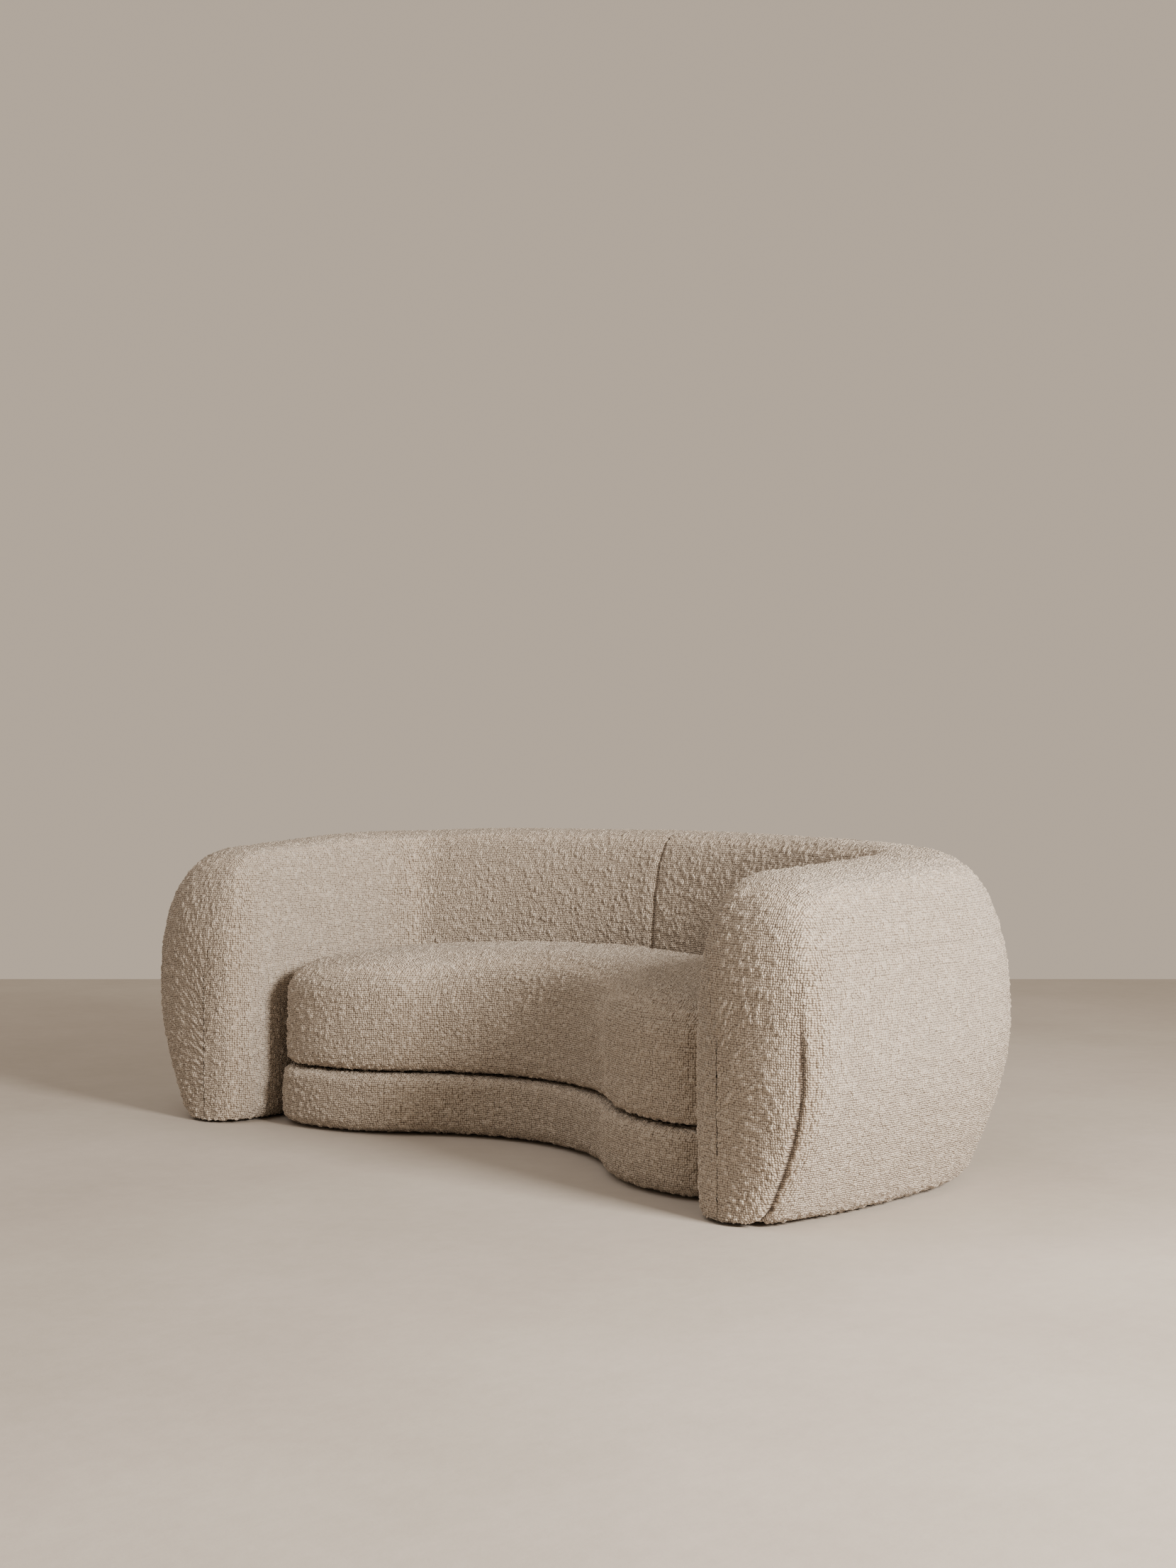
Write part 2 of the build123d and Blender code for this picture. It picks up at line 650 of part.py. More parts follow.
with BuildPart() as base_cover:
    add(base_outer.part)
    add(base_inner.part, mode=Mode.SUBTRACT)
    add(packer_space.part, mode=Mode.SUBTRACT)
    extrude(kidney(BASE_ROUND + CLOTH, 0), amount=2 * LIP_HEIGHT, mode=Mode.SUBTRACT)

# ---- Joint between the base and the shell ----
packer_inner = -SEAT_OFFSET - base_frame_inset
block_inner = packer_inner - SKIN - PLATE
block_face = packer_inner - SKIN - 2 * FREE
block_size = 2 * (deck_bottom - FREE - BOLT_LEVEL)
with BuildPart() as frame_packers:
    packer_blocks(PACKER - 2 * FREE, packer_inner + FREE, -FRAME_IN - 4 * FREE)
    bolt_holes(BOLT_RADIUS + FREE, packer_inner, -FRAME_IN)

with BuildPart() as base_backing_blocks:
    packer_blocks(block_size, block_inner, block_face)
    bolt_holes(BOLT_RADIUS + FREE, block_inner, block_face)
    extrude(kidney(base_plate_inset, 0), amount=BASE_TOP, mode=Mode.INTERSECT)

with BuildPart() as joining_bolts:
    bolt_holes(BOLT_HEAD_RADIUS, block_inner - BOLT_HEAD, block_inner, Mode.ADD)
    bolt_holes(BOLT_RADIUS, block_inner, rail_face + 3 * BOLT_HEAD, Mode.ADD)

with BuildPart() as joining_nuts:
    for s in bolt_places:
        x, y, turn = centre(s)
        outward = (sin(turn), cos(turn), 0)
        start = (x + rail_face * sin(turn), y + rail_face * cos(turn), BOLT_LEVEL)
        with BuildSketch(Plane(origin=start, z_dir=outward)):
            RegularPolygon(BOLT_HEAD_RADIUS, 6)
            Circle(BOLT_RADIUS, mode=Mode.SUBTRACT)
        extrude(amount=1.5 * BOLT_HEAD)

# ---- Seat cushion ----
with BuildPart() as cushion_outer:
    cushion_form(0)
    fillet(top_edges(cushion_outer), radius=CUSHION_ROUND_TOP)
    fillet(bottom_edges(cushion_outer), radius=CUSHION_ROUND_LOW)

with BuildPart() as cushion_middle:
    cushion_form(CLOTH)
    fillet(top_edges(cushion_middle), radius=CUSHION_ROUND_TOP - CLOTH)
    fillet(bottom_edges(cushion_middle), radius=CUSHION_ROUND_LOW - CLOTH)

with BuildPart() as cushion_foam_core:
    cushion_form(CLOTH + WRAP)
    fillet(top_edges(cushion_foam_core), radius=CUSHION_ROUND_TOP - CLOTH - WRAP)
    fillet(bottom_edges(cushion_foam_core), radius=CUSHION_ROUND_LOW - CLOTH - WRAP)

with BuildPart() as wrap_outer:
    cushion_form(CLOTH + EASE)
    fillet(top_edges(wrap_outer), radius=CUSHION_ROUND_TOP - CLOTH - EASE)
    fillet(bottom_edges(wrap_outer), radius=CUSHION_ROUND_LOW - CLOTH - EASE)

with BuildPart() as wrap_inner:
    cushion_form(CLOTH + WRAP - EASE)
    fillet(top_edges(wrap_inner), radius=CUSHION_ROUND_TOP - CLOTH - WRAP + EASE)
    fillet(bottom_edges(wrap_inner), radius=CUSHION_ROUND_LOW - CLOTH - WRAP + EASE)

with BuildPart() as cushion_fibre_wrap:
    add(wrap_outer.part)
    add(wrap_inner.part, mode=Mode.SUBTRACT)

cushion_seam = BASE_TOP + SEAT_LIFT + CUSHION_ROUND_LOW
cushion_bottom = BASE_TOP + SEAT_LIFT
with BuildPart() as cushion_cover:
    add(cushion_outer.part)
    add(cushion_middle.part, mode=Mode.SUBTRACT)
with BuildPart() as cushion_cover_top:
    add(cushion_cover.part)
    split(bisect_by=Plane.XY.offset(cushion_seam), keep=Keep.TOP)
with BuildPart() as cushion_cover_underside:
    add(cushion_cover.part)
    split(bisect_by=Plane.XY.offset(cushion_seam), keep=Keep.BOTTOM)
    with BuildSketch(Plane.XY.offset(cushion_bottom)):
        with Locations((0, ZIP_Y)):
            Rectangle(ZIP_LENGTH, ZIP_WIDTH)
    extrude(amount=CLOTH, mode=Mode.SUBTRACT)

with BuildPart() as cushion_zip:
    with BuildSketch(Plane.XY.offset(cushion_bottom + CLOTH - ZIP_TAPE)):
        with Locations((0, ZIP_Y)):
            Rectangle(ZIP_LENGTH, ZIP_WIDTH)
    extrude(amount=ZIP_TAPE)

with BuildPart() as cushion_zip_slider:
    with BuildSketch(Plane.XY.offset(cushion_bottom)):
        with Locations((ZIP_LENGTH / 2 - SLIDER_SETBACK, ZIP_Y)):
            RectangleRounded(SLIDER_LENGTH, ZIP_WIDTH - 1, 2)
    extrude(amount=CLOTH - ZIP_TAPE)


# ---- Hook-and-loop pads between the deck and the cushion ----
def pads(height):
    """Rounded pads in rows of three."""
    with BuildSketch(Plane.XY.offset(height)) as faces:
        with Locations((0, PAD_Y)):
            with GridLocations(PAD_STEP_X, PAD_STEP_Y, 3, 2):
                RectangleRounded(PAD_LENGTH, PAD_WIDTH, PAD_CORNER)
    extrude(faces.sketch, amount=(SEAT_LIFT - FREE) / 2)


with BuildPart() as hook_pads:
    pads(BASE_TOP)

with BuildPart() as loop_pads:
    pads(BASE_TOP + (SEAT_LIFT + FREE) / 2)

# ---- Files ----
for builder, name in (
    (shell_bottom_plate, "shell_bottom_plate"),
    (shell_mid_rail, "shell_mid_rail"),
    (shell_top_rail, "shell_top_rail"),
    (shell_joining_rail, "shell_joining_rail"),
    (shell_lower_ribs, "shell_lower_ribs"),
    (shell_upper_ribs, "shell_upper_ribs"),
    (arm_front_posts, "arm_front_posts"),
    (shell_inner_skin, "shell_inner_skin"),
    (shell_outer_skin, "shell_outer_skin"),
    (left_back_foam, "left_back_foam"),
    (right_back_foam, "right_back_foam"),
    (left_arm_foam, "left_arm_foam"),
    (right_arm_foam, "right_arm_foam"),
    (outside_cover, "outside_cover"),
    (inside_cover_left, "inside_cover_left"),
    (inside_cover_right, "inside_cover_right"),
    (left_arm_front_cover, "left_arm_front_cover"),
    (right_arm_front_cover, "right_arm_front_cover"),
    (shell_dust_cover, "shell_dust_cover"),
    (shell_feet, "shell_feet"),
    (shell_glides, "shell_glides"),
    (foot_screws, "foot_screws"),
    (base_bottom_plate, "base_bottom_plate"),
    (base_fascia, "base_fascia"),
    (base_deck_ring, "base_deck_ring"),
    (base_ribs, "base_ribs"),
    (seat_webbing_lengthwise, "seat_webbing_lengthwise"),
    (seat_webbing_crosswise, "seat_webbing_crosswise"),
    (base_foam, "base_foam"),
    (base_cover, "base_cover"),
    (base_dust_cover, "base_dust_cover"),
    (base_feet, "base_feet"),
    (base_glides, "base_glides"),
    (frame_packers, "frame_packers"),
    (base_backing_blocks, "base_backing_blocks"),
    (joining_bolts, "joining_bolts"),
    (joining_nuts, "joining_nuts"),
    (cushion_foam_core, "cushion_foam_core"),
    (cushion_fibre_wrap, "cushion_fibre_wrap"),
    (cushion_cover_top, "cushion_cover_top"),
    (cushion_cover_underside, "cushion_cover_underside"),
    (cushion_zip, "cushion_zip"),
    (cushion_zip_slider, "cushion_zip_slider"),
    (hook_pads, "hook_pads"),
    (loop_pads, "loop_pads"),
):
    save(builder, name)
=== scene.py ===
import json
import math

import bpy
import numpy as np
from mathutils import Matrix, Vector


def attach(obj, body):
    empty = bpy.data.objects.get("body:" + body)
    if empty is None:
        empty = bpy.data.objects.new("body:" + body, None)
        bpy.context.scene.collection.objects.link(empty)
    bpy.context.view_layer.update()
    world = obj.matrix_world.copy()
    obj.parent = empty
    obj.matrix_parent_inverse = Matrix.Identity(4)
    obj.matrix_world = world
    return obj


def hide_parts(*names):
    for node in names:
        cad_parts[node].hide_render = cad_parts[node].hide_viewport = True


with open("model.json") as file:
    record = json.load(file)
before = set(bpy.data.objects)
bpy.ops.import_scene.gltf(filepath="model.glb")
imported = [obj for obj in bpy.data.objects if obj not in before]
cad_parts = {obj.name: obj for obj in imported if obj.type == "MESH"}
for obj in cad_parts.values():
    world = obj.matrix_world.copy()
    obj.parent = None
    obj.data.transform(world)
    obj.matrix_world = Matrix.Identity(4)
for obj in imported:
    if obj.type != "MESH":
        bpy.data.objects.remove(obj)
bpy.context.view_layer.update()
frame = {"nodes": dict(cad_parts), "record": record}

# ---------------------------------------------------------------- driving sizes, in metres
# The shell's centreline in plan: three tangent arcs from the middle of the back to an arm's front.
ARCS = ((2.105, math.radians(19.3)), (0.235, math.radians(66.1)), (2.120, math.radians(13.9)))
BACK_LINE_Y = 0.3062
LIP = 0.006
BACK_HEIGHT = 0.715
ARM_DROP, DROP_POWER = 0.054, 2.4
FRONT_DROP, FRONT_RUN, FRONT_POWER = 0.292, 0.160, 2.5
OUTER_FOOT, OUTER_BULGE = (0.136, 0.110), (0.230, 0.226)
INNER_FOOT, INNER_BULGE = (0.088, 0.112), (0.116, 0.118)
BULGE_LEVEL, CROWN_LEVEL, CROWN_POWER = 0.5, 0.4, 2.9
TIP_LENGTH, TIP_POWER = 0.100, 2.4
FOOT_ROUND, FOOT_FACTOR = 0.058, 0.76
SEAT_GAP = 0.010
LOBE_X, LOBE_Y, RECESS_DEPTH = 0.600, -0.418, 0.228
LOBE_RADIUS, LOBE_CORNER = 0.420, 0.112
BASE_TOP, SEAT_BOTTOM, SEAT_TOP = 0.145, 0.148, 0.440
BASE_ROUND_TOP, BASE_ROUND_LOW = 0.026, 0.030
CUSHION_ROUND_TOP, CUSHION_ROUND_LOW = 0.084, 0.030
CROWN_RADIUS = 6.5
SEAM_SETBACK, SEAM_TOP, SEAM_CORNER = 0.040, 0.530, 0.100
CUSHION_SEAM = 0.178
SEAM_DEPTH, SEAM_PUFF = 0.0066, 0.0032  # the seam's groove, and the wide dip beside it
SEAM_WIDTH, PUFF_WIDTH = 0.0042, 0.018
HIGH_SEAM, MIDDLE_SEAM = 0.1, 0.6  # seam depth high on the panel and at the middle, against 1 low down
HEM = 0.35  # the cover is turned in under the shell to this part of its foot's width
UNDER_LIMIT = 0.0035  # the upholstery stays this far above the floor
SWELL, BASE_SWELL = 0.0022, 0.0015  # slow unevenness of the stuffed shell and of the base
BASE_BULGE = 0.0035  # the base's side stands out this far at half height
BASE_HEM, RING_EDGE, DECK_EDGE = 0.075, 0.090, 0.085  # insets of the ring's two ends and of the deck
CUSHION_SLACK = 0.004  # the unstuffed cushion is this much smaller at its sides and top
STUFFING_CAP, STUFFING_RISE = 0.004, 0.008  # furthest move when stuffed: low down, and what is added high up
LARGE_KNOTS, SMALL_KNOTS = (0.0125, 0.0066, 0.60), (0.0085, 0.0050, 0.8)  # pitch, radius and share
PILE_LEVEL = 0.55  # knot height that lies on the plain surface
PILE = 0.0042  # height of the yarn knots
WEAVE, WANDER = 0.0046, 0.004  # the weave's cell, and how far its rows wander
STEP = 0.0042  # spacing of the upholstery meshes
VOXEL = 0.0085

REACH = sum(radius * turn for radius, turn in ARCS)
BACK_END = ARCS[0][0] * ARCS[0][1]
CORNER_END = BACK_END + ARCS[1][0] * ARCS[1][1]
SEAT_OFFSET = max(INNER_BULGE) + SEAT_GAP

# ---------------------------------------------------------------- camera
camera_data = bpy.data.cameras.new("camera")
camera_data.sensor_width = 36
camera_data.lens = 49.6
camera_data.shift_y = -0.018
camera = bpy.data.objects.new("camera", camera_data)
camera.location = (3.5498, -3.6719, 0.9)
camera.rotation_euler = (math.radians(90), 0, 0.7721)
bpy.context.scene.collection.objects.link(camera)
bpy.context.scene.camera = camera


# ---------------------------------------------------------------- materials
class Nodes:
    """A new material with short ways to add and join its shader nodes."""

    def __init__(self, name, roughness, **constants):
        self.material = bpy.data.materials.new(name)
        self.material.use_nodes = True
        self.tree = self.material.node_tree
        self.shader = self.tree.nodes["Principled BSDF"]
        self.shader.inputs["Roughness"].default_value = roughness
        for socket, value in constants.items():
            self.shader.inputs[socket.replace("_", " ")].default_value = value
        self.place = self.add("ShaderNodeTexCoord").outputs["Object"]

    def add(self, kind, **settings):
        node = self.tree.nodes.new(kind)
        for key, value in settings.items():
            setattr(node, key, value)
        return node

    def join(self, a, b):
        self.tree.links.new(a, b)

    def maths(self, operation, a, b=None, clamp=False):
        node = self.add("ShaderNodeMath", operation=operation, use_clamp=clamp)
        for socket, value in zip(node.inputs, (a, b)):
            if value is None:
                continue
            if isinstance(value, (int, float)):
                socket.default_value = value
            else:
                self.join(value, socket)
        return node.outputs[0]

    def ramp(self, value, stops):
        node = self.add("ShaderNodeValToRGB")
        while len(node.color_ramp.elements) < len(stops):
            node.color_ramp.elements.new(0.5)
        for element, (position, colour) in zip(node.color_ramp.elements, stops):
            element.position = position
            element.color = (*colour, 1)
        self.join(value, node.inputs["Fac"])
        return node.outputs["Color"]

    def stretched(self, scale):
        node = self.add("ShaderNodeMapping")
        node.inputs["Scale"].default_value = scale
        self.join(self.place, node.inputs["Vector"])
        return node.outputs["Vector"]

    def noise(self, scale, detail=3.0, roughness=0.55, vector=None):
        node = self.add("ShaderNodeTexNoise")
        node.inputs["Scale"].default_value = scale
        node.inputs["Detail"].default_value = detail
        node.inputs["Roughness"].default_value = roughness
        self.join(vector or self.place, node.inputs["Vector"])
        return node.outputs["Fac"]

    def voronoi(self, scale, randomness=0.8, vector=None, dimensions="3D"):
        node = self.add("ShaderNodeTexVoronoi", voronoi_dimensions=dimensions)
        node.inputs["Scale"].default_value = scale
        node.inputs["Randomness"].default_value = randomness
        self.join(vector or self.place, node.inputs["Vector"])
        return node

    def parts(self, vector):
        node = self.add("ShaderNodeSeparateXYZ")
        self.join(vector, node.inputs[0])
        return node.outputs[0], node.outputs[1], node.outputs[2]

    def flat(self, a, b):
        node = self.add("ShaderNodeCombineXYZ")
        self.join(a, node.inputs[0])
        self.join(b, node.inputs[1])
        return node.outputs[0]

    def wandering(self, scale, amount):
        """The place, pushed about a little so that rows of a pattern are not quite straight."""
        noise = self.add("ShaderNodeTexNoise")
        noise.inputs["Scale"].default_value = scale
        self.join(self.place, noise.inputs["Vector"])
        node = self.add("ShaderNodeVectorMath", operation="MULTIPLY_ADD")
        self.join(noise.outputs["Color"], node.inputs[0])
        node.inputs[1].default_value = (amount, amount, amount)
        self.join(self.place, node.inputs[2])
        return node.outputs[0]

    def bump(self, height, distance):
        node = self.add("ShaderNodeBump")
        node.inputs["Distance"].default_value = distance
        self.join(height, node.inputs["Height"])
        self.join(node.outputs["Normal"], self.shader.inputs["Normal"])

    def colour(self, output):
        self.join(output, self.shader.inputs["Base Color"])
        return self.material


def boucle(name):
    """Woven looped yarn: small even cells with painted shade in the gaps at their corners, and knots that
    stand out, painted lighter on top and darker between them.
    """
    n = Nodes(name, 0.95, Sheen_Weight=0.2, Sheen_Roughness=0.6, Specular_IOR_Level=0.15)
    # knot height from the mesh: the colour uses it as painted shade between low knots and painted light on
    # high ones
    pile = n.add("ShaderNodeAttribute", attribute_name="pile").outputs["Fac"]
    facing = n.parts(n.add("ShaderNodeAttribute", attribute_name="facing").outputs["Vector"])
    x, y, z = n.parts(n.wandering(40, WANDER))
    cells = 0.0
    for share, pair in zip(facing, ((y, z), (x, z), (x, y))):
        cell = n.voronoi(1 / WEAVE, 0.35, vector=n.flat(*pair), dimensions="2D").outputs["Distance"]
        cells = n.maths("ADD", n.maths("MULTIPLY", share, cell), cells)
    # cell centres light and the gaps at their corners dark: painted shade in the gaps; this is also the bump
    # height
    yarn = n.maths("SUBTRACT", 1.0, n.maths("MULTIPLY", cells, 1.45), clamp=True)
    fibre = n.noise(900, 2)
    height = n.maths("ADD", yarn, n.maths("MULTIPLY", fibre, 0.2))
    # colour level: painted shade in the gaps and between knots, painted light on the knot tops, with fibre
    # and slow random tone
    level = n.maths("ADD", n.maths("MULTIPLY", height, 0.72), n.maths("MULTIPLY", pile, 0.24))
    level = n.maths("ADD", level, n.maths("MULTIPLY", n.noise(6, 2), 0.05))
    # the darkest stops are painted shade deep in the gaps, the lightest are painted light on the knot tops,
    # and the middle is the yarn's own cream
    stops = ((0.16, (0.085, 0.058, 0.039)), (0.34, (0.34, 0.265, 0.195)), (0.54, (0.54, 0.45, 0.36)),
             (0.95, (0.76, 0.67, 0.57)))
    n.bump(height, 0.0042)
    return n.colour(n.ramp(level, stops))


def cloth(name, dark, light, pitch):
    """Plain woven cloth or tape with a fine crossing of threads."""
    n = Nodes(name, 0.9)
    across = n.add("ShaderNodeTexWave", bands_direction="X")
    along = n.add("ShaderNodeTexWave", bands_direction="Y")
    for wave in (across, along):
        wave.inputs["Scale"].default_value = 0.3 / pitch
        wave.inputs["Distortion"].default_value = 1.5
        n.join(n.place, wave.inputs["Vector"])
    weave = n.maths("MULTIPLY", across.outputs["Fac"], along.outputs["Fac"])
    mixed = n.maths("ADD", n.maths("MULTIPLY", weave, 0.6), n.maths("MULTIPLY", n.noise(60), 0.4))
    n.bump(weave, pitch * 0.4)
    return n.colour(n.ramp(mixed, ((0.15, dark), (0.8, light))))


def wood(name, dark, light, grain, roughness):
    """Timber or plywood with grain running along x."""
    n = Nodes(name, roughness)
    stretched = n.stretched(grain)
    rings = n.noise(3.0, 6, 0.6, stretched)
    pores = n.noise(22, 3, 0.6, stretched)
    mixed = n.maths("ADD", n.maths("MULTIPLY", rings, 0.75), n.maths("MULTIPLY", pores, 0.25))
    n.bump(pores, 0.0006)
    return n.colour(n.ramp(mixed, ((0.3, dark), (0.68, light))))


def porous(name, dark, light, cell, roughness=0.95):
    """Foam or wadding with small open cells."""
    n = Nodes(name, roughness)
    cells = n.voronoi(1 / cell, 1.0).outputs["Distance"]
    mixed = n.maths("ADD", n.maths("MULTIPLY", cells, 0.6), n.maths("MULTIPLY", n.noise(14), 0.5))
    n.bump(cells, cell * 0.5)
    return n.colour(n.ramp(mixed, ((0.2, light), (0.85, dark))))


def hard(name, dark, light, roughness, metallic=0.0):
    """Moulded plastic or plated steel with a faint uneven surface."""
    n = Nodes(name, roughness, Metallic=metallic)
    speck = n.noise(260, 4)
    n.bump(speck, 0.0002)
    return n.colour(n.ramp(speck, ((0.35, dark), (0.7, light))))


BOUCLE = {part: boucle("boucle_" + part) for part in ("outside", "inside", "base", "cushion")}
NODE_LOOKS = {
    "plywood": wood("birch_plywood", (0.42, 0.29, 0.17), (0.66, 0.51, 0.34), (2, 14, 14), 0.55),
    "timber": wood("softwood", (0.40, 0.25, 0.13), (0.62, 0.44, 0.26), (3, 22, 22), 0.6),
    "bent_ply": wood("bent_plywood", (0.46, 0.33, 0.20), (0.68, 0.54, 0.37), (2, 10, 18), 0.5),
    "foot_wood": wood("stained_beech", (0.050, 0.028, 0.016), (0.13, 0.075, 0.045), (30, 30, 4), 0.4),
    "foam": porous("cut_foam", (0.52, 0.45, 0.29), (0.78, 0.72, 0.53), 0.0022),
    "fibre": porous("wadding", (0.66, 0.65, 0.61), (0.86, 0.85, 0.82), 0.005),
    "dust_cloth": cloth("dust_cloth", (0.010, 0.010, 0.010), (0.035, 0.034, 0.033), 0.0012),
    "webbing": cloth("elastic_webbing", (0.020, 0.020, 0.021), (0.085, 0.083, 0.080), 0.0024),
    "hook_tape": cloth("hook_tape", (0.010, 0.009, 0.008), (0.050, 0.046, 0.042), 0.0016),
    "loop_tape": cloth("loop_tape", (0.014, 0.012, 0.010), (0.060, 0.054, 0.048), 0.0012),
    "zip_tape": cloth("zip_tape", (0.20, 0.15, 0.10), (0.38, 0.30, 0.22), 0.0012),
    "glide_plastic": hard("nylon", (0.008, 0.008, 0.008), (0.024, 0.024, 0.025), 0.45),
    "screw_steel": hard("zinc_screw", (0.42, 0.42, 0.43), (0.62, 0.62, 0.61), 0.35, 1.0),
    "bolt_steel": hard("zinc_bolt", (0.36, 0.36, 0.37), (0.60, 0.60, 0.59), 0.32, 1.0),
    "zip_metal": hard("nickel", (0.44, 0.42, 0.39), (0.64, 0.62, 0.58), 0.28, 1.0),
}


# ---------------------------------------------------------------- forms of shell, base and cushion
def centreline(s):
    """Plan position of the centreline and its outward direction at the arc lengths s."""
    (r1, t1), (r2, t2), (r3, _) = ARCS
    length = np.abs(s)
    turn = np.select(
        [length < BACK_END, length < CORNER_END],
        [length / r1, t1 + (length - BACK_END) / r2],
        t1 + t2 + (length - CORNER_END) / r3,
    )
    first = np.array([0, BACK_LINE_Y - r1])
    second = first + (r1 - r2) * np.array([math.sin(t1), math.cos(t1)])
    third = second + (r2 - r3) * np.array([math.sin(t1 + t2), math.cos(t1 + t2)])
    which = (length >= BACK_END).astype(int) + (length >= CORNER_END)
    middle = np.array([first, second, third])[which]
    radius = np.array([r1, r2, r3])[which]
    out = np.stack([np.sin(turn), np.cos(turn)], -1)
    place = middle + radius[..., None] * out
    side = np.where(s < 0, -1.0, 1.0)
    flip = np.stack([side, np.ones_like(side)], -1)
    return place * flip, out * flip


def superellipse(t, power):
    return (1 - np.clip(t, 0, 1) ** power) ** (1 / power)


def shell_profile(s, level, side):
    """Distance from the centreline's upright plane, and height, at a part of the section's height."""
    share = (s / REACH) ** 2
    if side > 0:
        foot = OUTER_FOOT[0] + (OUTER_FOOT[1] - OUTER_FOOT[0]) * share
        bulge = OUTER_BULGE[0] + (OUTER_BULGE[1] - OUTER_BULGE[0]) * share
    else:
        foot = INNER_FOOT[0] + (INNER_FOOT[1] - INNER_FOOT[0]) * share
        bulge = INNER_BULGE[0] + (INNER_BULGE[1] - INNER_BULGE[0]) * share
    front = (s - (REACH - FRONT_RUN)) / FRONT_RUN
    drop = ARM_DROP * (s / REACH) ** DROP_POWER + FRONT_DROP * (1 - superellipse(front, FRONT_POWER))
    width = foot + (bulge - foot) * np.sin(np.pi / 2 * np.minimum(1, level / BULGE_LEVEL))
    crown = superellipse((level - CROWN_LEVEL) / (1 - CROWN_LEVEL), CROWN_POWER)
    ease = FOOT_FACTOR + (1 - FOOT_FACTOR) * superellipse(1 - level / FOOT_ROUND, 2)
    tip = np.minimum(1, (REACH - s) / TIP_LENGTH)
    narrow = superellipse(1 - tip, TIP_POWER)
    return side * width * crown * ease * narrow, LIP + (BACK_HEIGHT - drop - LIP) * level


def even_rows(out, height, count):
    """Points of one cross-section, spaced evenly along it."""
    length = np.concatenate([[0], np.cumsum(np.hypot(np.diff(out), np.diff(height)))])
    wanted = np.linspace(0, length[-1], count)
    return np.interp(wanted, length, out), np.interp(wanted, length, height)


def kidney():
    """The outline of base and cushion, as points in plan with their outward directions."""
    (r1, t1), (r2, t2), (r3, _) = ARCS
    first = np.array([0, BACK_LINE_Y - r1])
    second = first + (r1 - r2) * np.array([math.sin(t1), math.cos(t1)])
    third = second + (r2 - r3) * np.array([math.sin(t1 + t2), math.cos(t1 + t2)])
    side_radius = r3 - SEAT_OFFSET
    lobe = np.array([LOBE_X, LOBE_Y + LOBE_RADIUS])
    waist_radius = (LOBE_X**2 + RECESS_DEPTH**2) / (2 * RECESS_DEPTH) - LOBE_RADIUS
    waist = np.array([0, LOBE_Y + RECESS_DEPTH - waist_radius])
    gap = third - lobe
    distance = np.hypot(*gap)
    near, far = LOBE_RADIUS - LOBE_CORNER, side_radius - LOBE_CORNER
    along = (near**2 - far**2 + distance**2) / (2 * distance)
    aside = math.sqrt(near**2 - along**2)
    unit = gap / distance
    both = [lobe + unit * along + np.array([-unit[1], unit[0]]) * k * aside for k in (-1, 1)]
    tip = max(both, key=lambda point: point[0] - point[1])

    def heading(vector):
        return math.atan2(vector[0], vector[1]) % (2 * math.pi)

    arcs = [
        (first, r1 - SEAT_OFFSET, 0, t1, 1),
        (second, r2 - SEAT_OFFSET, t1, t1 + t2, 1),
        (third, side_radius, t1 + t2, heading(tip - third), 1),
        (tip, LOBE_CORNER, heading(tip - third), heading(tip - lobe), 1),
        (lobe, LOBE_RADIUS, heading(tip - lobe), heading(waist - lobe), 1),
        (waist, waist_radius, heading(lobe - waist), 0, -1),
    ]
    places, outs = [], []
    for middle, radius, start, end, sign in arcs:
        count = max(3, round(abs(end - start) * radius / STEP))
        turn = start + (end - start) * np.arange(count) / count
        out = np.stack([np.sin(turn), np.cos(turn)], -1)
        places.append(middle + radius * out)
        outs.append(sign * out)
    front = np.array([[0, LOBE_Y + RECESS_DEPTH]])
    place = np.concatenate(places + [front])
    out = np.concatenate(outs + [np.array([[0, -1.0]])])
    mirror = np.array([-1, 1])
    return np.concatenate([place, place[-2:0:-1] * mirror]), np.concatenate([out, out[-2:0:-1] * mirror])


# ---------------------------------------------------------------- yarn knots and unevenness
TABLE = np.random.default_rng(7).random((65536, 5))


def knots(points, pitch, radius, share):
    """Height from 0 to 1 of round yarn knots that lie on an uneven lattice in space."""
    cell = np.floor(points / pitch).astype(np.int64)
    height = np.zeros(len(points))
    for dx in (-1, 0, 1):
        for dy in (-1, 0, 1):
            for dz in (-1, 0, 1):
                c = cell + (dx, dy, dz)
                key = (c[:, 0] * 73856093 ^ c[:, 1] * 19349663 ^ c[:, 2] * 83492791) & 65535
                chance = TABLE[key]
                middle = (c + 0.5 + (chance[:, :3] - 0.5) * 0.8) * pitch
                size = radius * (0.7 + 0.3 * chance[:, 3])
                away = ((points - middle) ** 2).sum(1) / size**2
                bump = np.sqrt(np.maximum(0, 1 - away)) * (chance[:, 4] < share)
                height = np.maximum(height, bump)
    return height


def waves(points):
    """Slow unevenness of stuffed upholstery, between about -1 and 1."""
    x, y, z = points.T
    wide = np.sin(9 * x + 4 * z + 1) * np.sin(8 * y + 1.7)
    narrow = np.sin(15 * z + 6 * x + 2) * np.sin(13 * y + 5 * x)
    return (wide + narrow) / 2


def pile_height(points):
    """Knot height over the surface, from 0 to 1."""
    large = knots(points, *LARGE_KNOTS)
    small = knots(points + 0.37, *SMALL_KNOTS)
    return np.maximum(large, 0.5 * small)


# ---------------------------------------------------------------- meshes
def grid_normals(points):
    """Unit normals of a (rows, columns, 3) grid."""
    normal = np.cross(np.gradient(points, axis=0), np.gradient(points, axis=1))
    return normal / np.maximum(np.linalg.norm(normal, axis=-1, keepdims=True), 1e-12)


